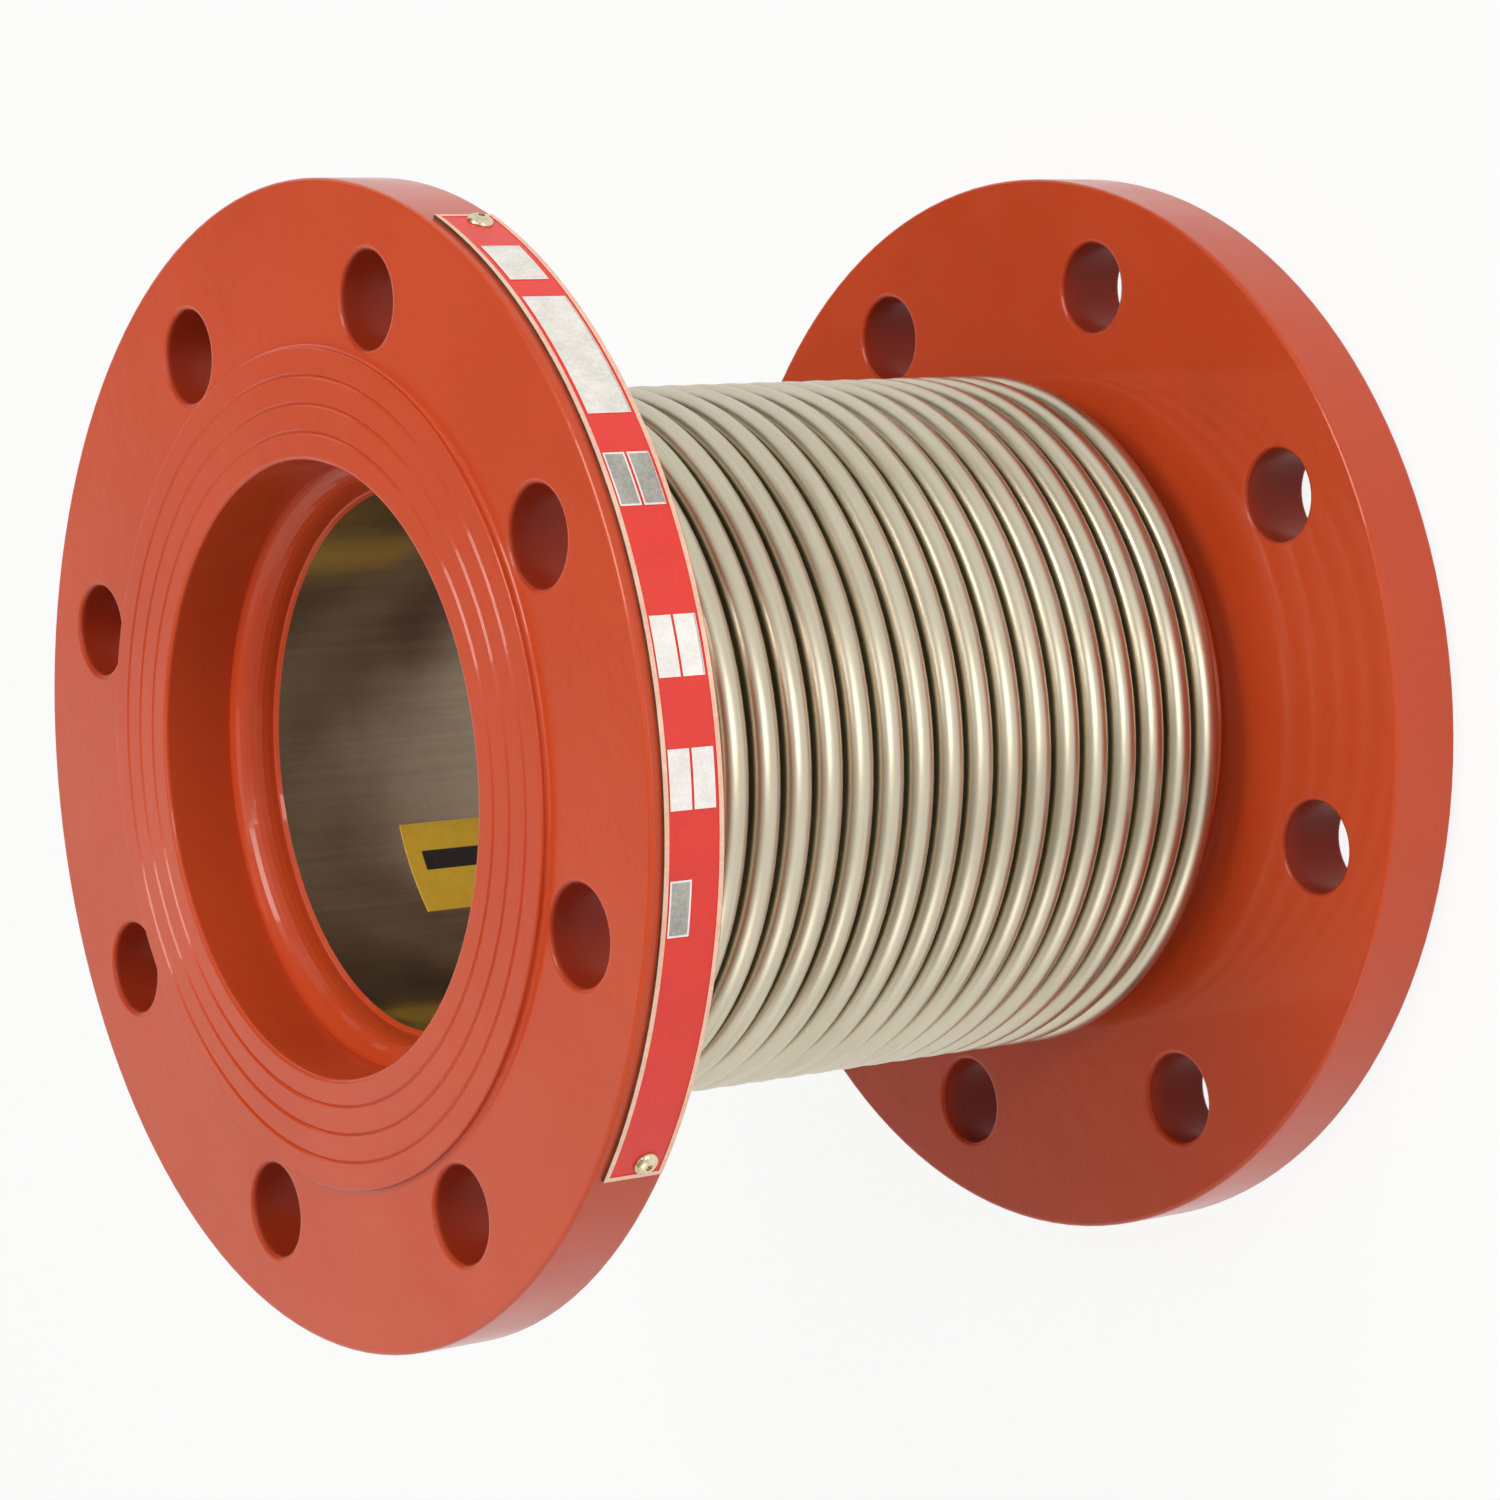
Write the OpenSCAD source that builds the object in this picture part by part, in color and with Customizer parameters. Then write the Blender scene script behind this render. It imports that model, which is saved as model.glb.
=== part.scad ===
// Axial expansion joint for a pipe: two drilled plate flanges joined by a round
// metal bellows, with a smooth guide sleeve inside that keeps the flow off the folds.
// It stands on the raised face of its lower flange, with the bore along Z.

/* [Joint] */
// Length over the two raised faces
face_to_face = 190; // [180:1:200]

/* [Flanges] */
// Outside diameter of each flange
flange_od = 220; // [212:1:260]
// Diameter of the circle through the bolt holes
bolt_circle = 180; // [178:1:186]
// Diameter of each bolt hole
bolt_hole = 18; // [14:1:19]
// Number of bolt holes
bolt_count = 8; // [4:4:12]
// Thickness of the flange plate at its rim
rim_thickness = 15.5; // [14:0.5:18]
// Diameter of the raised sealing face
raised_face_od = 158; // [154:1:160]
// Height of the raised sealing face above the plate
raised_face_height = 1.5; // [1:0.5:2]
// Diameter of the bore through the plate
flange_bore = 116; // [115:0.5:118]
// Diameter of the innermost turned groove in the sealing face
first_groove_od = 126.5; // [124:0.5:128]
// Step in diameter from one groove to the next
groove_step = 10.5; // [8:0.5:11]
// Number of turned grooves
groove_count = 3; // [1:1:3]
// Rounding of the flange edges
edge_round = 0.8; // [0.4:0.1:1.2]

/* [End rings] */
// Depth from the raised face to the nose of the end ring
ring_setback = 14.4; // [12:0.1:16]
// Inside diameter of the lower end ring; the upper one fits the sleeve
ring_bore = 107.3; // [106.5:0.1:108]
// Length of the end ring along the axis
ring_length = 11.1; // [10:0.1:13]
// Length of the rounded nose of the end ring
nose_length = 7; // [5:0.5:8]

/* [Bellows] */
// Number of convolutions
convolutions = 20; // [6:1:20]
// Distance from one convolution to the next
pitch = 7.1; // [6.6:0.1:7.1]
// Diameter over the crests
crest_od = 139.5; // [134:0.5:146]
// Diameter at the bottom of the outside folds
root_od = 117.6; // [117.2:0.1:120]
// Outside radius of each crest
crest_round = 2.55; // [1.8:0.05:2.6]
// Wall thickness of the bellows
bellows_wall = 0.8; // [0.5:0.1:1]

/* [Guide sleeve] */
// Outside diameter of the sleeve
sleeve_od = 105.2; // [100:0.1:105.5]
// Wall thickness of the sleeve
sleeve_wall = 0.8; // [0.5:0.1:1.5]
// Height of the sleeve's free end above the lower face
sleeve_free_end = 45; // [42:1:60]

/* [Nameplate] */
// Angle where the plate starts, counted from +X
plate_from = -44.3; // [-60:0.1:-30]
// Angle that the plate spans round the rim
plate_span = 103.2; // [60:0.1:120]
// Width of the plate along the axis
plate_width = 12.2; // [8:0.1:12.3]
// Thickness of the plate
plate_thickness = 0.6; // [0.4:0.1:1]
// Distance from the plate's front edge to the outer side of the flange rim
plate_inset = 2.3; // [1:0.1:2.5]
// Angle from each end of the plate to its rivet
rivet_inset = 1.7; // [1.6:0.1:4]
// Distance from the plate's middle line to the rivets, away from its front edge
rivet_shift = 1.6; // [0:0.1:2.5]
// Diameter of the rivet head
rivet_head_od = 4.8; // [3:0.1:5]

/* [Label] */
// Angle where the label inside the sleeve starts, counted from +X
label_from = 192.6; // [150:0.1:230]
// Width of the label round the sleeve wall
label_width = 20; // [10:1:40]
// Length of the label along the axis
label_length = 35; // [15:1:50]
// Distance from the label to the raised face of the upper flange
label_depth = 47.5; // [40:0.5:60]

/* [Hidden] */
$fn = 128;

// Play between the end ring and the bore or cuff that it is welded into
seat_play = 0.05;
flange_r = flange_od / 2;
bore_r = flange_bore / 2;
ring_r = bore_r - seat_play;
lower_ring_bore_r = ring_bore / 2;
plate_back = raised_face_height + rim_thickness;
hole_round = 1;
groove_half_width = 0.45;
groove_depth = 0.4;

// Welds behind each flange, one after the other along the end ring
neck_weld_leg = 2.6;
cuff_weld_leg = 1;
cuff_start = plate_back + neck_weld_leg + cuff_weld_leg;

// Bellows: outside folds hold what the crests leave of the pitch
root_round = pitch / 2 - crest_round;
crest_centre_r = crest_od / 2 - crest_round;
root_centre_r = root_od / 2 + root_round;
first_crest = (face_to_face - (convolutions - 1) * pitch) / 2;
last_crest = face_to_face - first_crest;
cuff_length = first_crest - pitch / 2 - cuff_start;

// Sleeve: its top end stands just behind the nose of the upper end ring
sleeve_r = sleeve_od / 2;
upper_ring_bore_r = sleeve_r + seat_play;
sleeve_weld_leg = 0.8;
sleeve_top = face_to_face - ring_setback - nose_length - sleeve_weld_leg;

label_thickness = 0.15;
rivet_shank_r = 1.2;
rivet_hole_r = 1.25;
rivet_shank_length = 6;
rivet_head_height = 1.3;
rivet_pin_r = 0.55;

// Plate's middle line along the axis, and the two rivets beside it
plate_z = face_to_face - raised_face_height - plate_inset - plate_width / 2;
rivet_z = plate_z - rivet_shift;
upper_rivet_angle = plate_from + plate_span - rivet_inset;
lower_rivet_angle = plate_from + rivet_inset;

// Points of an arc about a centre, from one angle to another
function arc(centre, radius, from, to, steps = 4) = [
    for (i = [0 : steps])
        let (a = from + (to - from) * i / steps)
            [centre[0] + radius * cos(a), centre[1] + radius * sin(a)]
];

// Points of one turned groove, walked outwards along the sealing face
function groove(radius) = [
    [radius - groove_half_width, 0],
    [radius, groove_depth],
    [radius + groove_half_width, 0]
];

// Half section of a flange, its sealing face at z = 0 and its plate above it
function flange_section() = concat(
    [[bore_r, plate_back]],
    arc([bore_r + edge_round, edge_round], edge_round, 180, 270),
    [for (i = [0 : groove_count - 1]) each groove((first_groove_od + i * groove_step) / 2)],
    arc([raised_face_od / 2 - edge_round / 2, edge_round / 2], edge_round / 2, 270, 360),
    arc([raised_face_od / 2 + edge_round, raised_face_height - edge_round], edge_round, 180, 90),
    arc([flange_r - edge_round, raised_face_height + edge_round], edge_round, 270, 360),
    arc([flange_r - edge_round, plate_back - edge_round], edge_round, 0, 90)
);

// One through hole of a flange, with both of its edges rounded
module bolt_hole() {
    hole_r = bolt_hole / 2;
    wide_r = hole_r + hole_round;
    rotate_extrude()
        polygon(concat(
            [[0, raised_face_height - 1], [wide_r, raised_face_height - 1]],
            arc([wide_r, raised_face_height + hole_round], hole_round, 270, 180),
            arc([wide_r, plate_back - hole_round], hole_round, 180, 90),
            [[wide_r, plate_back + 1], [0, plate_back + 1]]
        ));
}

module flange() {
    difference() {
        rotate_extrude()
            polygon(flange_section());
        for (i = [0 : bolt_count - 1])
            rotate([0, 0, (i + 0.5) * 360 / bolt_count])
                translate([bolt_circle / 2, 0, 0])
                    bolt_hole();
    }
}

// Ring welded into the flange bore, its nose rounded off towards the flow
module end_ring(inside_r) {
    nose_height = ring_r - inside_r;
    nose = [
        for (a = [0 : 10 : 90])
            [ring_r - nose_height * sin(a), ring_setback + nose_length * (1 - cos(a))]
    ];
    rotate_extrude()
        polygon(concat(nose, [
            [inside_r, ring_setback + ring_length],
            [ring_r, ring_setback + ring_length]
        ]));
}

// Fillet weld with a bulged face, standing on the end ring and running outwards
module fillet_weld(start, leg) {
    bulge = [
        for (a = [0 : 15 : 90])
            [ring_r + leg * pow(cos(a), 1.3), start + leg * pow(sin(a), 1.3)]
    ];
    rotate_extrude()
        polygon(concat([[ring_r, start]], bulge));
}

// Small weld between the cut end of the bellows cuff and the end ring
module cuff_weld() {
    rotate_extrude()
        polygon([
            [ring_r, cuff_start - cuff_weld_leg],
            [ring_r + 0.75, cuff_start - 0.45],
            [ring_r + cuff_weld_leg, cuff_start],
            [ring_r, cuff_start]
        ]);
}

// Puts a piece that is drawn for the lower end at the upper end
module at_upper_end() {
    translate([0, 0, face_to_face])
        mirror([0, 0, 1])
            children();
}

// Part of a round wall in the half section, kept on one side of its centre
module wall_arc(outer, low, high) {
    intersection() {
        difference() {
            circle(r = outer);
            circle(r = outer - bellows_wall);
        }
        translate(low)
            square(high - low);
    }
}

// One convolution: a round crest on two flat flanks
module convolution() {
    reach = crest_round + 1;
    translate([crest_centre_r, 0])
        wall_arc(crest_round, [0, -reach], [reach, reach]);
    for (flank = [-crest_round, crest_round - bellows_wall])
        translate([root_centre_r, flank])
            square([crest_centre_r - root_centre_r, bellows_wall]);
}

// The fold between two convolutions; an end fold keeps one half and runs into a cuff
module fold(low = -1, high = 1) {
    outer = root_round + bellows_wall;
    reach = outer + 1;
    translate([root_centre_r, 0])
        wall_arc(outer, [-reach, low * reach], [0, high * reach]);
}

module cuff(bottom) {
    translate([root_od / 2 - bellows_wall, bottom])
        square([bellows_wall, cuff_length]);
}

module bellows() {
    color("tan")
        rotate_extrude() {
            cuff(cuff_start);
            translate([0, first_crest - pitch / 2])
                fold(low = 0);
            for (i = [0 : convolutions - 1])
                translate([0, first_crest + i * pitch])
                    convolution();
            for (i = [1 : convolutions - 1])
                translate([0, first_crest + (i - 0.5) * pitch])
                    fold();
            translate([0, last_crest + pitch / 2])
                fold(high = 0);
            cuff(face_to_face - cuff_start - cuff_length);
        }
}

// Turns a piece drawn at +X on the rim to one of the plate's rivet places
module at_rivet(angle) {
    rotate([0, 0, angle])
        translate([flange_r, 0, rivet_z])
            rotate([0, 90, 0])
                children();
}

// Holes for both rivets, reaching inwards from the rim by the given depth
module rivet_holes(depth) {
    for (angle = [lower_rivet_angle, upper_rivet_angle])
        at_rivet(angle)
            translate([0, 0, -depth])
                cylinder(r = rivet_hole_r, h = depth + 4);
}

module lower_flange() {
    color("orangered")
        flange();
}

module upper_flange() {
    color("orangered")
        difference() {
            at_upper_end()
                flange();
            rivet_holes(rivet_shank_length + 0.3);
        }
}

module lower_end_ring() {
    color("orangered")
        end_ring(lower_ring_bore_r);
}

module upper_end_ring() {
    color("orangered")
        at_upper_end()
            end_ring(upper_ring_bore_r);
}

module lower_neck_weld() {
    color("firebrick")
        fillet_weld(plate_back, neck_weld_leg);
}

module upper_neck_weld() {
    color("firebrick")
        at_upper_end()
            fillet_weld(plate_back, neck_weld_leg);
}

module lower_cuff_weld() {
    color("dimgray")
        cuff_weld();
}

module upper_cuff_weld() {
    color("dimgray")
        at_upper_end()
            cuff_weld();
}

module guide_sleeve() {
    color("rosybrown")
        rotate_extrude()
            translate([sleeve_r - sleeve_wall, sleeve_free_end])
                square([sleeve_wall, sleeve_top - sleeve_free_end]);
}

// Bead over the sleeve's top edge that joins it to the end ring
module sleeve_weld() {
    color("firebrick")
        rotate_extrude()
            polygon([
                [upper_ring_bore_r, sleeve_top + sleeve_weld_leg],
                [sleeve_r - 0.35, sleeve_top + 0.6],
                [sleeve_r - sleeve_wall, sleeve_top],
                [upper_ring_bore_r, sleeve_top]
            ]);
}

module sleeve_label() {
    wall_r = sleeve_r - sleeve_wall;
    color("gold")
        rotate([0, 0, label_from])
            rotate_extrude(angle = label_width / wall_r * 180 / PI)
                translate([wall_r - label_thickness, face_to_face - label_depth - label_length])
                    square([label_thickness, label_length]);
}

module nameplate() {
    color("red")
        difference() {
            rotate([0, 0, plate_from])
                rotate_extrude(angle = plate_span)
                    translate([flange_r, plate_z - plate_width / 2])
                        square([plate_thickness, plate_width]);
            rivet_holes(1);
        }
}

// Blind rivet with a low domed head and the open mouth that its pin leaves
module rivet() {
    head_r = rivet_head_od / 2;
    dome_r = (head_r * head_r + rivet_head_height * rivet_head_height) / (2 * rivet_head_height);
    difference() {
        union() {
            translate([0, 0, -rivet_shank_length])
                cylinder(r = rivet_shank_r, h = rivet_shank_length + plate_thickness + 0.2);
            intersection() {
                translate([0, 0, plate_thickness + rivet_head_height - dome_r])
                    sphere(r = dome_r);
                translate([0, 0, plate_thickness])
                    cylinder(r = head_r + 1, h = rivet_head_height + 1);
            }
        }
        translate([0, 0, plate_thickness])
            cylinder(r = rivet_pin_r, h = rivet_head_height + 1);
    }
}

module upper_rivet() {
    color("darkkhaki")
        at_rivet(upper_rivet_angle)
            rivet();
}

module lower_rivet() {
    color("darkkhaki")
        at_rivet(lower_rivet_angle)
            rivet();
}

lower_flange();
lower_end_ring();
lower_neck_weld();
lower_cuff_weld();
bellows();
upper_flange();
upper_end_ring();
upper_neck_weld();
upper_cuff_weld();
guide_sleeve();
sleeve_weld();
sleeve_label();
nameplate();
upper_rivet();
lower_rivet();
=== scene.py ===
# Axial expansion joint: painted flanges, thin steel bellows between them, guide sleeve, name plate.
# It stands on its lower flange; the camera is rolled, so that it lies as in the photograph.
import math

import bpy
from mathutils import Matrix, Vector


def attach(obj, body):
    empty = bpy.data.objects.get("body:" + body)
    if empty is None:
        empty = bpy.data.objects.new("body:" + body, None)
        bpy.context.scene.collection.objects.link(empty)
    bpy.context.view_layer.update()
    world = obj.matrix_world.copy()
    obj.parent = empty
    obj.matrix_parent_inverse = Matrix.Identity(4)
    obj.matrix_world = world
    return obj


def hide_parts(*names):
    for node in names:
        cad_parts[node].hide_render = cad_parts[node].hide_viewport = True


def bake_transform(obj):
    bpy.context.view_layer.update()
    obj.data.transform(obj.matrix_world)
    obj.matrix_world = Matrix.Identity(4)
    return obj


mm = 0.001
tiny = 0.00001                  # metres; points nearer than this are taken as one

photoCamera = {
    "place": (0.69754, -0.01805, 0.58503),
    "looks": (-0.81515, 0.01673, -0.57901),
    "up": (0.07413, 0.99438, -0.07564),
    "lens": 102.33,
    "sensor": 36.0,
    "clip": (0.01, 50),
}

studio = {
    "floorHalf": 6.0,
    "floorColour": (0.86, 0.86, 0.86, 1),
    "floorGlow": 0.9,           # share of the floor's white that shadows don't touch
    "backdropRadius": 4.5,
    "backdropHeight": 1.7,
    "backdropSides": 64,
    "backdropGlow": 1.0,
    "tableColour": (1.05, 1.02, 0.97, 1),    # the pale side of the room, behind the object
    "shadeColour": (0.02, 0.019, 0.017, 1),  # the dark side of the room
    "frontColour": (0.50, 0.487, 0.462, 1),  # the soft light from the camera's side
    "arcColour": (1.0, 0.97, 0.91, 1),       # a long soft light bent round the top of the front
    "arcLevel": 0.30,
    "arcAcross": (-0.579, 0, 0.815),         # square to the plane that the arc lies in
    # where one part of the room fades into the next, by the x, y or z of a direction
    "tableFade": (0.48, 0.62),               # y + z: the pale table ends, the dark wall begins
    "behindFade": (-0.1, 0.15),              # x: the side behind the object ends
    "frontFade": (-0.2, 0.4),                # x: the camera's side begins
    "arcFrontFade": (0.0, 0.4),              # x: the arc begins
    "arcTopFade": (0.0, 0.6),                # y: the arc reaches its full light
    "arcHalfWidth": 0.3,
    "lampAim": (0, 0, 0.1),
    "lampDistance": 1.2,
    "lamps": [
        # name, degrees round from +X, degrees up, size, watts, colour
        ("keyLamp", 60, 61, 0.45, 6.3, (1.0, 0.985, 0.96)),
        ("sideLamp", 0, 0, 0.45, 3.3, (1.0, 0.98, 0.95)),
        ("sparkLamp", 15, 45, 0.16, 0.85, (1.0, 0.98, 0.94)),
        ("highLamp", 0, 87, 0.45, 1.0, (1.0, 0.985, 0.96)),
        ("lowLamp", -62, 2, 0.45, 1.2, (1.0, 0.98, 0.94)),
        ("topLamp", 90, 30, 0.45, 0.5, (1.0, 0.98, 0.94)),
        ("backLamp", 150, 60, 0.45, 0.7, (1.0, 0.985, 0.96)),
    ],
}


def report(text):
    print("scene:", text)


def clearSelection():
    if bpy.context.object and bpy.context.object.mode != "OBJECT":
        bpy.ops.object.mode_set(mode="OBJECT")
    bpy.ops.object.select_all(action="DESELECT")


def selectOnly(piece):
    clearSelection()
    piece.select_set(True)
    bpy.context.view_layer.objects.active = piece


def makeCamera():
    data = bpy.data.cameras.new("photoCamera")
    holder = bpy.data.objects.new("photoCamera", data)
    bpy.context.scene.collection.objects.link(holder)
    data.lens = photoCamera["lens"]
    data.sensor_width = photoCamera["sensor"]
    data.sensor_fit = "HORIZONTAL"
    data.clip_start, data.clip_end = photoCamera["clip"]
    forward = Vector(photoCamera["looks"]).normalized()
    right = forward.cross(Vector(photoCamera["up"])).normalized()
    up = right.cross(forward).normalized()
    turn = Matrix((right, up, -forward)).transposed().to_4x4()
    holder.matrix_world = Matrix.Translation(Vector(photoCamera["place"])) @ turn
    bpy.context.scene.camera = holder


# small helpers that add nodes to a material

noiseSpan = (0.3, 0.7)          # nearly all values of a noise lie between these two
bumpStrength = 0.5
nodeGap = 200                   # between nodes in the editor, so that none hides another


def addNode(tree, kind, **settings):
    node = tree.nodes.new(kind)
    node.location = (-nodeGap * len(tree.nodes), 0)
    for name, value in settings.items():
        setattr(node, name, value)
    return node


def addMath(tree, operation, first, second=None):
    node = addNode(tree, "ShaderNodeMath", operation=operation)
    for socket, value in zip(node.inputs, (first, second)):
        if isinstance(value, (int, float)):
            socket.default_value = value
        elif value is not None:
            tree.links.new(value, socket)
    return node.outputs[0]


def addLength(tree, first, second):
    # the distance that two measures square to each other make together
    squares = addMath(tree, "ADD", addMath(tree, "MULTIPLY", first, first),
                      addMath(tree, "MULTIPLY", second, second))
    return addMath(tree, "SQRT", squares)


def addNoise(tree, place, scale, detail):
    node = addNode(tree, "ShaderNodeTexNoise")
    node.inputs["Scale"].default_value = scale
    node.inputs["Detail"].default_value = detail
    tree.links.new(place, node.inputs["Vector"])
    return node.outputs["Fac"]


def addRange(tree, value, fromSpan, toSpan=(0, 1)):
    node = addNode(tree, "ShaderNodeMapRange")
    for name, number in zip(("From Min", "From Max", "To Min", "To Max"), (*fromSpan, *toSpan)):
        node.inputs[name].default_value = number
    tree.links.new(value, node.inputs["Value"])
    return node.outputs["Result"]


def addMixed(tree, first, firstPart, second, span):
    # two noises mixed, the part of the span that they use stretched to run from 0 to 1
    mixed = addMath(tree, "ADD", addMath(tree, "MULTIPLY", first, firstPart),
                    addMath(tree, "MULTIPLY", second, 1 - firstPart))
    return addRange(tree, mixed, span)


def addBlend(tree, share, first, second):
    # mixes two colours, each a plain colour or another node's output
    node = addNode(tree, "ShaderNodeMix", data_type="RGBA")
    tree.links.new(share, node.inputs[0])
    for socket, colour in ((node.inputs[6], first), (node.inputs[7], second)):
        if isinstance(colour, tuple):
            socket.default_value = colour
        else:
            tree.links.new(colour, socket)
    return node.outputs[2]


def addBump(tree, height, distance, below=None):
    node = addNode(tree, "ShaderNodeBump")
    node.inputs["Distance"].default_value = distance
    node.inputs["Strength"].default_value = bumpStrength
    tree.links.new(height, node.inputs["Height"])
    if below is not None:
        tree.links.new(below, node.inputs["Normal"])
    return node.outputs["Normal"]


def splitPlace(tree, place):
    parts = addNode(tree, "ShaderNodeSeparateXYZ")
    tree.links.new(place, parts.inputs[0])
    return parts.outputs


def stretchAround(tree, place, around, along):
    # a place whose pattern is drawn out along the turning direction, with no seam
    x, y, z = splitPlace(tree, place)
    radius = addLength(tree, x, y)
    joined = addNode(tree, "ShaderNodeCombineXYZ")
    measures = ((addMath(tree, "DIVIDE", x, radius), around),
                (addMath(tree, "DIVIDE", y, radius), around),
                (addMath(tree, "ADD", z, radius), along))
    for socket, (measure, scale) in zip(joined.inputs, measures):
        tree.links.new(addMath(tree, "MULTIPLY", measure, scale), socket)
    return joined.outputs[0]


def newMaterial(name, colour, metallic):
    material = bpy.data.materials.new(name)
    material.use_nodes = True
    tree = material.node_tree
    shader = tree.nodes["Principled BSDF"]
    shader.inputs["Base Color"].default_value = colour
    shader.inputs["Metallic"].default_value = metallic
    place = addNode(tree, "ShaderNodeTexCoord").outputs["Object"]
    return material, tree, shader, place


def linkShader(tree, shader, outputs):
    for name, output in outputs.items():
        tree.links.new(output, shader.inputs[name])


# the finishes of the large pieces; a noise is given by its scale and detail

paintLook = {
    "bright": (0.600, 0.069, 0.0155, 1),
    "deep": (0.550, 0.059, 0.0120, 1),
    "roughness": (0.30, 0.40),
    "specular": 0.22,
    "coat": 0.36,
    "coatRoughness": 0.07,
    "clouds": (22, 4),
    "grease": (66, 3),
    "ripple": (90, 2),
    "rippleDepth": 0.00012,
    "peel": (520, 2),
    "peelDepth": 0.00005,
    "holeCoatAndShade": (0.34, 0.030, 0.008, 1),   # painted shade on the walls of the bolt holes, over a coat that is thin and dark there
    "holes": 8,
    "boltCircle": 0.090,
    "holeRadius": (0.0091, 0.0098),          # where the wall and its painted shade end, where the full coat begins
}


def holeDistance(tree, place):
    # how far a point is from the axis of the nearest bolt hole
    x, y, z = splitPlace(tree, place)
    radius = addLength(tree, x, y)
    half = math.pi / paintLook["holes"]
    turn = addMath(tree, "PINGPONG", addMath(tree, "ARCTAN2", y, x), half)
    off = addMath(tree, "SUBTRACT", half, turn)
    outward = addMath(tree, "MULTIPLY", radius, addMath(tree, "COSINE", off))
    across = addMath(tree, "MULTIPLY", radius, addMath(tree, "SINE", off))
    return addLength(tree, addMath(tree, "SUBTRACT", outward, paintLook["boltCircle"]), across)


def makeFlangePaint():
    look = paintLook
    material, tree, shader, place = newMaterial("flangePaint", look["bright"], 0.0)
    clouds = addNoise(tree, place, *look["clouds"])
    colour = addBlend(tree, addRange(tree, clouds, noiseSpan), look["deep"], look["bright"])
    away = holeDistance(tree, place)
    # 1 on the face, 0 on the walls of the bolt holes, where the colour is painted shade
    onFace = addRange(tree, away, look["holeRadius"])
    grease = addNoise(tree, place, *look["grease"])
    ripple = addBump(tree, addNoise(tree, place, *look["ripple"]), look["rippleDepth"])
    peel = addBump(tree, addNoise(tree, place, *look["peel"]), look["peelDepth"], ripple)
    linkShader(tree, shader, {
        "Base Color": addBlend(tree, onFace, look["holeCoatAndShade"], colour),
        "Roughness": addRange(tree, grease, noiseSpan, look["roughness"]),
        "Coat Weight": addRange(tree, away, look["holeRadius"], (0, look["coat"])),
        "Normal": peel,
        "Coat Normal": peel,
    })
    shader.inputs["Specular IOR Level"].default_value = look["specular"]
    shader.inputs["Coat Roughness"].default_value = look["coatRoughness"]
    return material


steelLook = {
    "bright": (0.65, 0.595, 0.460, 1),
    "dull": (0.55, 0.495, 0.370, 1),
    "roughness": (0.33, 0.39),
    "lineAround": 2.5,          # fine lines run round the pipe: they change slowly round it,
    "lineAlong": 1500,          # and quickly along it
    "lineDetail": 3,
    "linePart": 0.5,            # the lines' part of the colour; the clouds make the rest
    "clouds": (35, 4),
    "colourSpan": (0.35, 0.65),
}


def makeBellowsSteel():
    look = steelLook
    material, tree, shader, place = newMaterial("bellowsSteel", look["bright"], 1.0)
    drawnOut = stretchAround(tree, place, look["lineAround"], look["lineAlong"])
    lines = addNoise(tree, drawnOut, 1, look["lineDetail"])
    clouds = addNoise(tree, place, *look["clouds"])
    share = addMixed(tree, lines, look["linePart"], clouds, look["colourSpan"])
    linkShader(tree, shader, {
        "Base Color": addBlend(tree, share, look["dull"], look["bright"]),
        "Roughness": addRange(tree, clouds, noiseSpan, look["roughness"]),
    })
    return material


sleeveLook = {
    "bright": (0.74, 0.68, 0.58, 1),
    "dull": (0.54, 0.48, 0.40, 1),
    "roughness": (0.16, 0.28),
    "millScale": (700, 700, 12),   # fine mill lines run along the pipe
    "millDetail": 3,
    "millDepth": 0.000006,
    "millPart": 0.35,              # the mill lines' part of the colour; the stains make the rest
    "stains": (30, 5),
    "colourSpan": (0.35, 0.62),
}


def makeSleeveSteel():
    look = sleeveLook
    material, tree, shader, place = newMaterial("sleeveSteel", look["bright"], 1.0)
    drawnOut = addNode(tree, "ShaderNodeMapping")
    drawnOut.inputs["Scale"].default_value = look["millScale"]
    tree.links.new(place, drawnOut.inputs["Vector"])
    mill = addNoise(tree, drawnOut.outputs[0], 1, look["millDetail"])
    stains = addNoise(tree, place, *look["stains"])
    share = addMixed(tree, mill, look["millPart"], stains, look["colourSpan"])
    linkShader(tree, shader, {
        "Base Color": addBlend(tree, share, look["dull"], look["bright"]),
        "Roughness": addRange(tree, stains, noiseSpan, look["roughness"]),
        "Normal": addBump(tree, mill, look["millDepth"]),
    })
    return material


# what the finishes of the plate, the label and the rivets have in common: cloudy colour, fine grain
enamelLook = {
    "cloudSize": 8,             # the clouds are this many times as large as the grain
    "cloudDetail": 5,
    "cloudPart": 0.6,           # the clouds' part of the colour; the grain makes the rest
    "grainDetail": 3,
    "colourSpan": (0.38, 0.62),
    "coatRoughness": 0.15,
}


def makeEnamel(name, look):
    material, tree, shader, place = newMaterial(name, look["bright"], look["metallic"])
    clouds = addNoise(tree, place, look["grainScale"] / enamelLook["cloudSize"],
                      enamelLook["cloudDetail"])
    grain = addNoise(tree, place, look["grainScale"], enamelLook["grainDetail"])
    share = addMixed(tree, clouds, enamelLook["cloudPart"], grain, enamelLook["colourSpan"])
    linkShader(tree, shader, {
        "Base Color": addBlend(tree, share, look["deep"], look["bright"]),
        "Roughness": addRange(tree, clouds, noiseSpan, look["roughness"]),
        "Normal": addBump(tree, grain, look["grainDepth"]),
    })
    shader.inputs["Coat Weight"].default_value = look["coat"]
    shader.inputs["Coat Roughness"].default_value = enamelLook["coatRoughness"]
    return material


def addFinishes(piece, finishes):
    for name, look in finishes.items():
        piece.data.materials.append(makeEnamel(name, look))


def giveFinish(piece, finishes, name):
    # to the faces that are selected
    piece.active_material_index = list(finishes).index(name)
    bpy.ops.object.material_slot_assign()


# floor, backdrop, room and lamps

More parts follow.
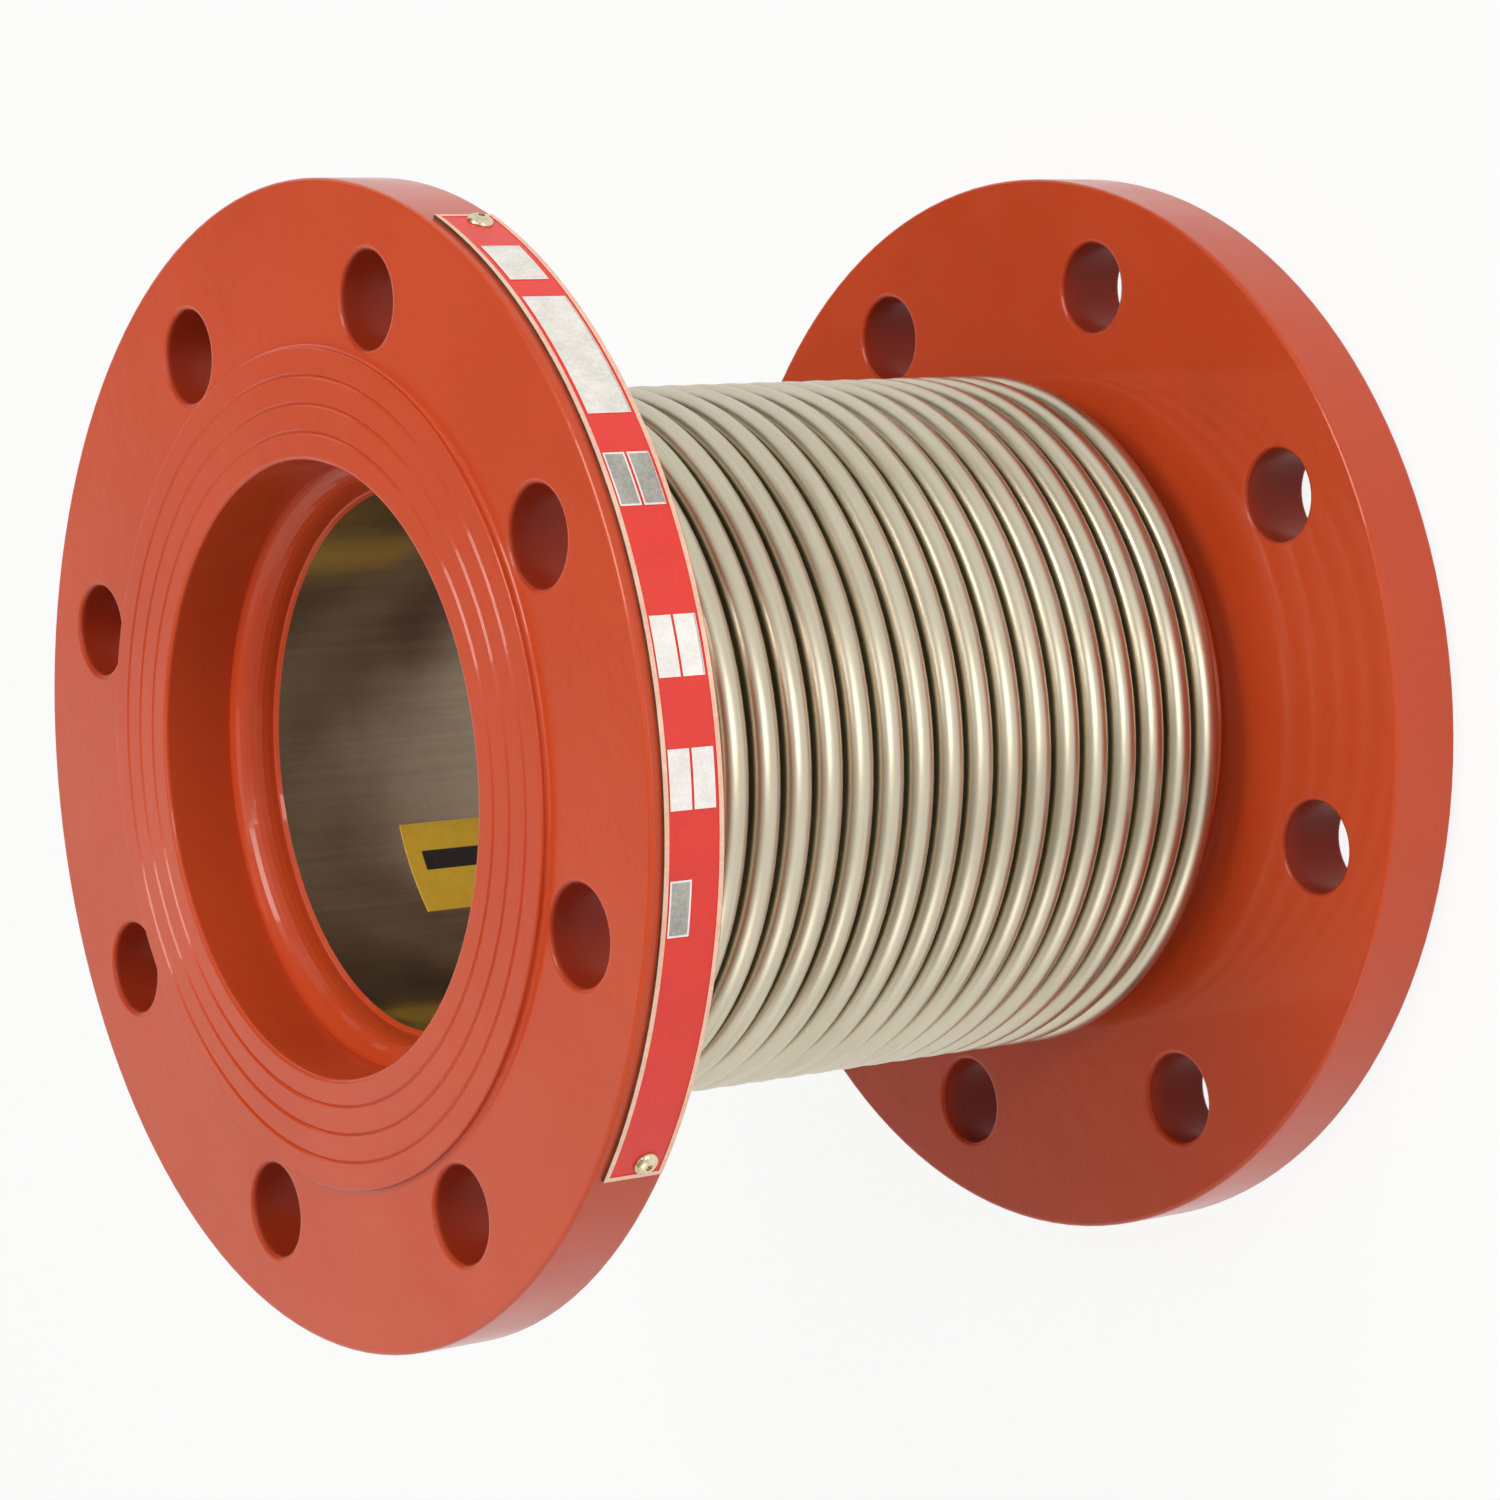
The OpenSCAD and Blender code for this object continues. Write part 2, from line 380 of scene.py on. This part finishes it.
def whiteForViewer(tree):
    # 1 for camera, glossy and transmission rays, 0 for the rays that carry diffuse light
    path = addNode(tree, "ShaderNodeLightPath")
    either = addMath(tree, "MAXIMUM", path.outputs["Is Camera Ray"], path.outputs["Is Glossy Ray"])
    return addMath(tree, "MAXIMUM", either, path.outputs["Is Transmission Ray"])


def makeStageMaterial(name, glow):
    material = bpy.data.materials.new(name)
    material.use_nodes = True
    tree = material.node_tree
    tree.nodes.clear()
    output = addNode(tree, "ShaderNodeOutputMaterial")
    mix = addNode(tree, "ShaderNodeMixShader")
    matt = addNode(tree, "ShaderNodeBsdfDiffuse")
    matt.inputs["Color"].default_value = studio["floorColour"]
    white = addNode(tree, "ShaderNodeEmission")
    tree.links.new(addMath(tree, "MULTIPLY", whiteForViewer(tree), glow), mix.inputs[0])
    tree.links.new(matt.outputs[0], mix.inputs[1])
    tree.links.new(white.outputs[0], mix.inputs[2])
    tree.links.new(mix.outputs[0], output.inputs[0])
    return material


def makeStage():
    clearSelection()
    bpy.ops.mesh.primitive_plane_add(size=2 * studio["floorHalf"], location=(0, 0, 0))
    floor = bpy.context.object
    floor.name = "floor"
    floor.data.materials.append(makeStageMaterial("paleFloor", studio["floorGlow"]))
    clearSelection()
    bpy.ops.mesh.primitive_cylinder_add(
        vertices=studio["backdropSides"], radius=studio["backdropRadius"],
        depth=studio["backdropHeight"], end_fill_type="NOTHING",
        location=(0, 0, studio["backdropHeight"] / 2))
    backdrop = bpy.context.object
    backdrop.name = "backdrop"
    bpy.ops.object.transform_apply(location=True, rotation=True, scale=True)
    backdrop.data.materials.append(makeStageMaterial("paleBackdrop", studio["backdropGlow"]))


def makeRoom():
    # the world: a pale table behind the object, a dark wall over it, soft light and an arc in front
    world = bpy.data.worlds.new("room")
    bpy.context.scene.world = world
    world.use_nodes = True
    tree = world.node_tree
    place = addNode(tree, "ShaderNodeTexCoord").outputs["Generated"]
    x, y, z = splitPlace(tree, place)
    aboveTable = addRange(tree, addMath(tree, "ADD", y, z), studio["tableFade"])
    wall = addBlend(tree, aboveTable, studio["tableColour"], studio["shadeColour"])
    beside = addRange(tree, x, studio["behindFade"])
    behind = addBlend(tree, beside, wall, studio["shadeColour"])
    inFront = addRange(tree, x, studio["frontFade"])
    around = addBlend(tree, inFront, behind, studio["frontColour"])
    across = addNode(tree, "ShaderNodeVectorMath", operation="DOT_PRODUCT")
    across.inputs[1].default_value = studio["arcAcross"]
    tree.links.new(place, across.inputs[0])
    offArc = addMath(tree, "ABSOLUTE", across.outputs["Value"])
    acrossArc = addRange(tree, offArc, (0, studio["arcHalfWidth"]), (1, 0))
    alongArc = addMath(tree, "MULTIPLY", addRange(tree, x, studio["arcFrontFade"]),
                       addRange(tree, y, studio["arcTopFade"]))
    arc = addMath(tree, "MULTIPLY", acrossArc, alongArc)
    shade = tree.nodes["Background"]
    tree.links.new(around, shade.inputs["Color"])
    lit = addNode(tree, "ShaderNodeBackground")
    lit.inputs["Color"].default_value = studio["arcColour"]
    tree.links.new(addMath(tree, "MULTIPLY", arc, studio["arcLevel"]), lit.inputs["Strength"])
    both = addNode(tree, "ShaderNodeAddShader")
    tree.links.new(shade.outputs[0], both.inputs[0])
    tree.links.new(lit.outputs[0], both.inputs[1])
    tree.links.new(both.outputs[0], tree.nodes["World Output"].inputs[0])


def makeLamps():
    for name, around, upward, size, watts, colour in studio["lamps"]:
        lamp = bpy.data.lights.new(name, "AREA")
        lamp.shape = "SQUARE"
        lamp.size = size
        lamp.energy = watts
        lamp.color = colour
        holder = bpy.data.objects.new(name, lamp)
        bpy.context.scene.collection.objects.link(holder)
        holder.visible_camera = False
        turn = math.radians(around)
        rise = math.radians(upward)
        away = Vector((math.cos(turn) * math.cos(rise), math.sin(turn) * math.cos(rise),
                       math.sin(rise)))
        holder.rotation_euler = away.to_track_quat("Z", "Y").to_euler()
        holder.location = Vector(studio["lampAim"]) + away * studio["lampDistance"]


# helpers for work in edit mode

def startEditing(piece):
    selectOnly(piece)
    bpy.ops.object.mode_set(mode="EDIT")


def stopEditing():
    bpy.ops.object.mode_set(mode="OBJECT")


def pickVertices(piece, wanted):
    # leaves edit mode on, with only the wanted vertices selected
    startEditing(piece)
    bpy.ops.mesh.select_mode(type="VERT")
    bpy.ops.mesh.select_all(action="DESELECT")
    stopEditing()
    for vertex in piece.data.vertices:
        vertex.select = wanted(vertex.co)
    bpy.ops.object.mode_set(mode="EDIT")


def pickFaces(piece, wanted):
    # leaves edit mode on, with only the wanted faces selected
    startEditing(piece)
    bpy.ops.mesh.select_mode(type="FACE")
    bpy.ops.mesh.select_all(action="DESELECT")
    stopEditing()
    for face in piece.data.polygons:
        face.select = wanted(face.center, face.normal)
    bpy.ops.object.mode_set(mode="EDIT")


def pickAll(piece):
    startEditing(piece)
    bpy.ops.mesh.select_mode(type="VERT")
    bpy.ops.mesh.select_all(action="SELECT")


def applyPlace(piece):
    selectOnly(piece)
    bpy.ops.object.transform_apply(location=True, rotation=True, scale=True)


def joinPieces(first, second):
    selectOnly(first)
    second.select_set(True)
    bpy.ops.object.join()


def copyPiece(piece, name):
    twin = piece.copy()
    twin.data = piece.data.copy()
    twin.name = name
    bpy.context.scene.collection.objects.link(twin)
    return twin


def applyModifier(piece, modifier):
    selectOnly(piece)
    bpy.ops.object.modifier_apply(modifier=modifier.name)


def smoothByAngle(piece, degrees):
    selectOnly(piece)
    bpy.ops.object.shade_smooth_by_angle(angle=math.radians(degrees))


def sectionOval(name, outward, along, points, centre, height):
    # an oval standing in the section plane through the pipe's axis
    clearSelection()
    bpy.ops.mesh.primitive_circle_add(vertices=points, radius=mm, rotation=(math.radians(90), 0, 0))
    oval = bpy.context.object
    oval.name = name
    oval.scale = (outward, along, 1)
    oval.location = (centre * mm, 0, height * mm)
    applyPlace(oval)
    return oval


def sectionStrip(name, middle, thickness, low, high):
    # the end face of a thin strip, standing in the section plane
    clearSelection()
    bpy.ops.mesh.primitive_plane_add(size=1, rotation=(math.radians(90), 0, 0))
    strip = bpy.context.object
    strip.name = name
    strip.scale = (thickness * mm, (high - low) * mm, 1)
    strip.location = (middle * mm, 0, (high + low) / 2 * mm)
    applyPlace(strip)
    return strip


def drawBy(*moves):
    # draws out what is selected by one move after the other
    for move in moves:
        bpy.ops.mesh.extrude_region_move(TRANSFORM_OT_translate={"value": move})


def spinPiece(piece, steps, degrees=360):
    # spin goes clockwise seen from above, so the angle is turned round
    pickAll(piece)
    bpy.ops.mesh.spin(steps=steps, angle=math.radians(-degrees), center=(0, 0, 0), axis=(0, 0, 1))
    bpy.ops.mesh.select_all(action="SELECT")
    bpy.ops.mesh.remove_doubles(threshold=tiny)
    bpy.ops.mesh.normals_make_consistent(inside=False)
    stopEditing()


def sweepStrip(strip, fromAngle, toAngle, steps):
    # turns the end face to where the strip starts, then spins it round the pipe
    pickAll(strip)
    turnStart = math.radians(-fromAngle)      # with no window, rotate turns the other way
    bpy.ops.transform.rotate(value=turnStart, orient_axis="Z", center_override=(0, 0, 0))
    spinPiece(strip, steps, toAngle - fromAngle)


def cutLevels(piece, levels):
    for level in levels:
        pickAll(piece)
        bpy.ops.mesh.bisect(plane_co=(0, 0, level * mm), plane_no=(0, 0, 1))
    stopEditing()


def cutAngles(piece, angles):
    for angle in angles:
        turn = math.radians(angle)
        pickAll(piece)
        bpy.ops.mesh.bisect(plane_co=(0, 0, 0), plane_no=(-math.sin(turn), math.cos(turn), 0))
    stopEditing()


def angleOf(place):
    return math.degrees(math.atan2(place.y, place.x))


# the bellows, drawn as one section and turned round the pipe

bellows = {
    "convolutions": 20,
    "pitch": 7.1,
    "firstCrest": 27.55,
    "crestCentre": 67.4,        # radius at which the flattened oval of each crest is centred
    "crestHeight": 2.35,        # it stands this far out from there,
    "crestHalf": 2.92,          # and reaches this far to both sides; the roots take the rest
    "crestPoints": 24,
    "rootCentre": 59.8,
    "rootDepth": 1.0,
    "rootPoints": 16,
    "cuffLow": 20.6,
    "cuffHigh": 169.4,
    "wall": 0.8,
    "around": 96,
    "smooth": 50,
    "bendFrom": 24.0,           # between these two heights the real bellows stretches with the slide
    "bendTo": 166.0,
}


def makeBellows(bellowsSteel):
    b = bellows
    crestMiddle = b["crestCentre"] * mm
    rootMiddle = b["rootCentre"] * mm
    rootHalf = b["pitch"] / 2 - b["crestHalf"]
    rootLine = (b["rootCentre"] - b["rootDepth"]) * mm
    lowFold = (b["firstCrest"] - b["pitch"] / 2) * mm
    crestLow = (b["firstCrest"] - b["crestHalf"]) * mm
    crestHigh = (b["firstCrest"] + b["crestHalf"]) * mm
    # one crest and the root above it, in section
    section = sectionOval("bellowsFolds", b["crestHeight"], b["crestHalf"], b["crestPoints"],
                          b["crestCentre"], b["firstCrest"])
    pickVertices(section, lambda p: p.x < crestMiddle - tiny)
    bpy.ops.mesh.delete(type="VERT")
    root = sectionOval("root", b["rootDepth"], rootHalf, b["rootPoints"],
                       b["rootCentre"], b["firstCrest"] + b["pitch"] / 2)
    pickVertices(root, lambda p: p.x > rootMiddle + tiny)
    bpy.ops.mesh.delete(type="VERT")
    joinPieces(section, root)
    # straight flanks on both sides of the crest
    pickVertices(section, lambda p: abs(p.z - crestHigh) < tiny)
    bpy.ops.mesh.edge_face_add()
    pickVertices(section, lambda p: abs(p.z - crestLow) < tiny)
    drawBy((rootMiddle - crestMiddle, 0, 0))
    stopEditing()
    row = section.modifiers.new("row", "ARRAY")
    row.count = b["convolutions"]
    row.use_relative_offset = False
    row.use_constant_offset = True
    row.constant_offset_displace = (0, 0, b["pitch"] * mm)
    row.use_merge_vertices = True
    row.merge_threshold = tiny
    applyModifier(section, row)
    # the fold and cuff at the lower end
    fold = sectionOval("fold", b["rootDepth"], rootHalf, b["rootPoints"], b["rootCentre"],
                       b["firstCrest"] - b["pitch"] / 2)
    pickVertices(fold, lambda p: p.x > rootMiddle + tiny or p.z < lowFold - tiny)
    bpy.ops.mesh.delete(type="VERT")
    joinPieces(section, fold)
    pickVertices(section, lambda p: p.z < lowFold + tiny)
    drawBy((0, 0, b["cuffLow"] * mm - lowFold))
    # the upper end turns straight into its cuff half way round the last root
    highFold = lowFold + b["convolutions"] * b["pitch"] * mm
    pickVertices(section, lambda p: p.z > highFold + tiny)
    bpy.ops.mesh.delete(type="VERT")
    pickVertices(section, lambda p: p.z > highFold - tiny and p.x < rootLine + tiny)
    drawBy((0, 0, b["cuffHigh"] * mm - highFold))
    bpy.ops.mesh.select_all(action="SELECT")
    bpy.ops.mesh.remove_doubles(threshold=tiny)
    spinPiece(section, b["around"])
    # the wall is added on the inner side, so the faces have to look outward
    crestFace = max(section.data.polygons, key=lambda face: face.center.xy.length)
    if crestFace.normal.xy.dot(crestFace.center.xy) < 0:
        pickAll(section)
        bpy.ops.mesh.flip_normals()
        stopEditing()
    sheet = section.modifiers.new("sheet", "SOLIDIFY")
    sheet.thickness = b["wall"] * mm
    sheet.offset = -1
    sheet.use_even_offset = True
    applyModifier(section, sheet)
    smoothByAngle(section, b["smooth"])
    section.data.materials.append(bellowsSteel)
    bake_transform(section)
    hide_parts("bellows")


# the painted fillet welds behind the flanges: one bead, rippled where the torch stepped on
neckWeld = {
    "ringRadius": 57.95,
    "flangeBack": 17.0,
    "leg": 2.6,
    "points": 24,
    "steps": 360,
    "rippleDepth": 0.16,        # every second cross line is sunk this much
    "smooth": 50,
    "middle": 95.0,             # half way up the joint, where the upper bead mirrors the lower one
}


def makeNeckWelds(flangePaint):
    w = neckWeld
    ring = w["ringRadius"] * mm
    back = w["flangeBack"] * mm
    edge = (w["ringRadius"] + w["leg"]) * mm
    bead = sectionOval("lowerNeckBead", w["leg"], w["leg"], w["points"], w["ringRadius"], w["flangeBack"])
    pickVertices(bead, lambda p: p.x < ring - tiny or p.z < back - tiny)
    bpy.ops.mesh.delete(type="VERT")
    # the two straight sides, against the flange and against the ring
    pickVertices(bead, lambda p: p.x > edge - tiny)
    drawBy((ring - edge, 0, 0))
    pickVertices(bead, lambda p: p.x < ring + tiny)
    bpy.ops.mesh.edge_face_add()
    stopEditing()
    spinPiece(bead, w["steps"])
    step = 360 / w["steps"]
    pickVertices(bead, lambda p: p.xy.length > ring + tiny and p.z > back + tiny
                 and round(angleOf(p) / step) % 2 == 1)
    bpy.ops.transform.shrink_fatten(value=-w["rippleDepth"] * mm)
    stopEditing()
    smoothByAngle(bead, w["smooth"])
    bead.data.materials.append(flangePaint)
    # the upper bead is the same one turned over
    upper = copyPiece(bead, "upperNeckBead")
    pickAll(upper)
    bpy.ops.transform.rotate(value=math.pi, orient_axis="X", center_override=(0, 0, w["middle"] * mm))
    stopEditing()
    for piece, body, node in ((bead, "lower_end", "lower_neck_weld"),
                              (upper, "upper_end", "upper_neck_weld")):
        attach(piece, body)
        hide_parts(node)


# the name plate on the rim of the upper flange, its fields left blank

plate = {
    "rim": 110.0,
    "thickness": 0.6,
    "low": 174.0,
    "high": 186.2,
    "fromAngle": -44.3,
    "toAngle": 58.9,
    "step": 1.0,                # degrees between the plate's cross lines
    "border": 0.95,
    "relief": 0.12,             # the bare metal stands this much over the enamel
    "frame": 0.35,              # clean edge left round each field
    "smooth": 30,
    # each field: from angle, to angle, from height, to height, finish of its middle
    "fields": [
        (46.2, 52.0, 176.2, 184.2, "plateWorn"),
        (29.0, 43.6, 175.5, 184.5, "plateWorn"),
        (19.5, 24.8, 175.5, 180.0, "plateStruck"),
        (19.5, 24.8, 180.5, 184.9, "plateStruck"),
        (3.8, 9.3, 175.5, 180.0, "plateBare"),
        (3.8, 9.3, 180.5, 184.9, "plateBare"),
        (-7.8, -2.45, 175.6, 180.0, "plateBare"),
        (-7.8, -2.45, 180.5, 184.9, "plateBare"),
        (-19.05, -13.95, 180.5, 184.9, "plateStruck"),
    ],
    "finishes": {
        "plateRed": {
            "bright": (0.84, 0.036, 0.022, 1), "deep": (0.78, 0.030, 0.018, 1), "metallic": 0.0,
            "roughness": (0.36, 0.48), "grainScale": 900, "grainDepth": 0.00002, "coat": 0.1},
        "plateLine": {
            "bright": (0.92, 0.64, 0.49, 1), "deep": (0.82, 0.50, 0.36, 1), "metallic": 0.4,
            "roughness": (0.35, 0.5), "grainScale": 1400, "grainDepth": 0.00003, "coat": 0.0},
        "plateBare": {
            "bright": (0.93, 0.90, 0.87, 1), "deep": (0.82, 0.78, 0.74, 1), "metallic": 0.8,
            "roughness": (0.32, 0.46), "grainScale": 1400, "grainDepth": 0.00003, "coat": 0.0},
        "plateWorn": {
            "bright": (0.92, 0.90, 0.84, 1), "deep": (0.74, 0.72, 0.66, 1), "metallic": 0.6,
            "roughness": (0.32, 0.5), "grainScale": 1400, "grainDepth": 0.00004, "coat": 0.0},
        "plateStruck": {
            "bright": (0.48, 0.47, 0.42, 1), "deep": (0.34, 0.33, 0.30, 1), "metallic": 0.75,
            "roughness": (0.38, 0.5), "grainScale": 1400, "grainDepth": 0.00004, "coat": 0.0},
        # the sides of the plate: painted shade, dark for the shadow line along its edge
        "plateEdgeShade": {
            "bright": (0.20, 0.10, 0.07, 1), "deep": (0.12, 0.06, 0.045, 1), "metallic": 0.5,
            "roughness": (0.4, 0.55), "grainScale": 1400, "grainDepth": 0.00003, "coat": 0.0},
    },
}


def makePlate():
    p = plate
    # the strip is sunk a little in the paint, so that no gap shows under it
    middle = p["rim"] + (p["thickness"] - p["relief"]) / 2
    strip = sectionStrip("namePlate", middle, p["thickness"], p["low"], p["high"])
    lineTurn = math.degrees(p["border"] / p["rim"])
    levels = {p["low"] + p["border"], p["high"] - p["border"]}
    angles = {p["fromAngle"] + lineTurn, p["toAngle"] - lineTurn}
    for fromAngle, toAngle, low, high, finish in p["fields"]:
        levels |= {low, high}
        angles |= {fromAngle, toAngle}
    cutLevels(strip, sorted(levels))
    steps = round((p["toAngle"] - p["fromAngle"]) / p["step"])
    sweepStrip(strip, p["fromAngle"], p["toAngle"], steps)
    cutAngles(strip, sorted(angles))
    addFinishes(strip, p["finishes"])
    outwardShare = 0.9          # a face that looks outward has at least this much of its normal that way

    def isFace(centre, normal):
        return normal.xy.dot(centre.xy.normalized()) > outwardShare

    def onBorder(centre, normal):
        height = centre.z / mm
        side = min(height - p["low"], p["high"] - height)
        end = min(angleOf(centre) - p["fromAngle"], p["toAngle"] - angleOf(centre))
        return isFace(centre, normal) and (side < p["border"] or end < lineTurn)

    def inField(field, centre, normal):
        return (isFace(centre, normal) and field[0] < angleOf(centre) < field[1]
                and field[2] * mm < centre.z < field[3] * mm)

    def raiseFaces():
        bpy.ops.mesh.extrude_region_shrink_fatten(
            TRANSFORM_OT_shrink_fatten={"value": p["relief"] * mm})

    # the sides of the plate get the painted shade
    pickFaces(strip, lambda centre, normal: not isFace(centre, normal))
    giveFinish(strip, p["finishes"], "plateEdgeShade")
    pickFaces(strip, onBorder)
    giveFinish(strip, p["finishes"], "plateLine")
    raiseFaces()
    for field in p["fields"]:
        pickFaces(strip, lambda centre, normal: inField(field, centre, normal))
        giveFinish(strip, p["finishes"], "plateBare")
        raiseFaces()
        bpy.ops.mesh.inset(thickness=p["frame"] * mm, depth=0)
        giveFinish(strip, p["finishes"], field[4])
    stopEditing()
    smoothByAngle(strip, p["smooth"])
    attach(strip, "upper_end")
    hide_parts("nameplate")


# the two blind rivets that hold the name plate, each with the end of its pin sunk in the head
rivets = {
    "headRadius": 2.4,
    "headHeight": 1.3,
    "points": 48,
    "seat": 0.6,                # the head sits this much over the rim, on the plate
    "pinRadius": 0.55,
    "pinHeight": 1.15,
    "shankRadius": 1.2,
    "shankLength": 6.0,
    "rim": 110.0,
    "height": 178.5,
    "angles": {"lower": -42.6, "upper": 57.2},
    "smooth": 40,
    "finishes": {
        "rivetMetal": {
            "bright": (0.80, 0.71, 0.48, 1), "deep": (0.56, 0.48, 0.31, 1), "metallic": 1.0,
            "roughness": (0.2, 0.32), "grainScale": 1800, "grainDepth": 0.00003, "coat": 0.0},
    },
}


def makeRivets():
    r = rivets
    lower = sectionOval("lowerRivet", r["headRadius"], r["headHeight"], r["points"], 0, r["seat"])
    pickVertices(lower, lambda p: p.x < r["pinRadius"] * mm or p.z < r["seat"] * mm - tiny)
    bpy.ops.mesh.delete(type="VERT")
    stopEditing()
    inner = min((vertex.co.copy() for vertex in lower.data.vertices), key=lambda p: p.x)
    # from the dome down to the pin's end, then under the head and down the shank
    pickVertices(lower, lambda p: p.x < inner.x + tiny)
    drawBy((0, 0, r["pinHeight"] * mm - inner.z), (-inner.x, 0, 0))
    pickVertices(lower, lambda p: p.x > r["headRadius"] * mm - tiny)
    drawBy(((r["shankRadius"] - r["headRadius"]) * mm, 0, 0),
           (0, 0, -(r["seat"] + r["shankLength"]) * mm), (-r["shankRadius"] * mm, 0, 0))
    stopEditing()
    spinPiece(lower, r["points"])
    smoothByAngle(lower, r["smooth"])
    addFinishes(lower, r["finishes"])
    upper = copyPiece(lower, "upperRivet")
    for piece, end in ((lower, "lower"), (upper, "upper")):
        turn = math.radians(r["angles"][end])
        piece.rotation_euler = (0, math.radians(90), turn)
        piece.location = (r["rim"] * math.cos(turn) * mm, r["rim"] * math.sin(turn) * mm,
                          r["height"] * mm)
        applyPlace(piece)
        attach(piece, "upper_end")
        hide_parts(end + "_rivet")


# the plain label inside the sleeve

label = {
    "wall": 51.8,               # inner radius of the sleeve
    "thickness": 0.15,
    "low": 107.5,
    "high": 142.5,
    "fromAngle": 192.6,
    "toAngle": 214.5,
    "steps": 24,
    "barFrom": 199.2,
    "barTo": 203.9,
    "barLow": 111.0,
    "barHigh": 139.0,
    "smooth": 30,
    "finishes": {
        "labelYellow": {
            "bright": (0.92, 0.60, 0.050, 1), "deep": (0.84, 0.54, 0.042, 1), "metallic": 0.0,
            "roughness": (0.35, 0.45), "grainScale": 500, "grainDepth": 0.00002, "coat": 0.3},
        "labelBlack": {
            "bright": (0.022, 0.020, 0.018, 1), "deep": (0.015, 0.014, 0.013, 1), "metallic": 0.0,
            "roughness": (0.35, 0.45), "grainScale": 500, "grainDepth": 0.00002, "coat": 0.3},
    },
}


def makeLabel():
    q = label
    film = sectionStrip("flowLabel", q["wall"] - q["thickness"] / 2, q["thickness"], q["low"], q["high"])
    cutLevels(film, (q["barLow"], q["barHigh"]))
    sweepStrip(film, q["fromAngle"], q["toAngle"], q["steps"])
    cutAngles(film, (q["barFrom"], q["barTo"]))
    addFinishes(film, q["finishes"])
    pickFaces(film, lambda centre, normal: q["barFrom"] < angleOf(centre) % 360 < q["barTo"]
              and q["barLow"] * mm < centre.z < q["barHigh"] * mm
              and normal.xy.dot(centre.xy) < 0)
    giveFinish(film, q["finishes"], "labelBlack")
    stopEditing()
    smoothByAngle(film, q["smooth"])
    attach(film, "upper_end")
    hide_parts("sleeve_label")


# finishes of the solids that stay as they are

def dressNodes(nodes, flangePaint, bellowsSteel):
    sleeveSteel = makeSleeveSteel()
    finishes = {
        flangePaint: ("lower_flange", "upper_flange", "lower_end_ring", "upper_end_ring", "sleeve_weld"),
        bellowsSteel: ("lower_cuff_weld", "upper_cuff_weld"),
        sleeveSteel: ("guide_sleeve",),
    }
    for material, names in finishes.items():
        for name in names:
            slots = nodes[name].data.materials
            slots.clear()
            slots.append(material)


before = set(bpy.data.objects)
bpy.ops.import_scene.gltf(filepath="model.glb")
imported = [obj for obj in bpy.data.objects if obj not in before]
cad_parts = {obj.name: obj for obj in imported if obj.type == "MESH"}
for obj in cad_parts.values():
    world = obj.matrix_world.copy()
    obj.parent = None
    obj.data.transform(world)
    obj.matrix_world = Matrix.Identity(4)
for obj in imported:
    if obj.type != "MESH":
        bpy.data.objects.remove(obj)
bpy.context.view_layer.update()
clearSelection()
report("solids loaded")
makeCamera()
makeStage()
makeRoom()
makeLamps()
report("camera, floor and lamps made")
bellowsSteel = makeBellowsSteel()
makeBellows(bellowsSteel)
report("bellows made")
flangePaint = makeFlangePaint()
makeNeckWelds(flangePaint)
report("neck welds made")
makePlate()
report("name plate made")
makeRivets()
report("rivets made")
makeLabel()
report("label made")
dressNodes(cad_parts, flangePaint, bellowsSteel)
report("finishes given")
clearSelection()

bpy.context.scene.view_settings.view_transform = "Standard"
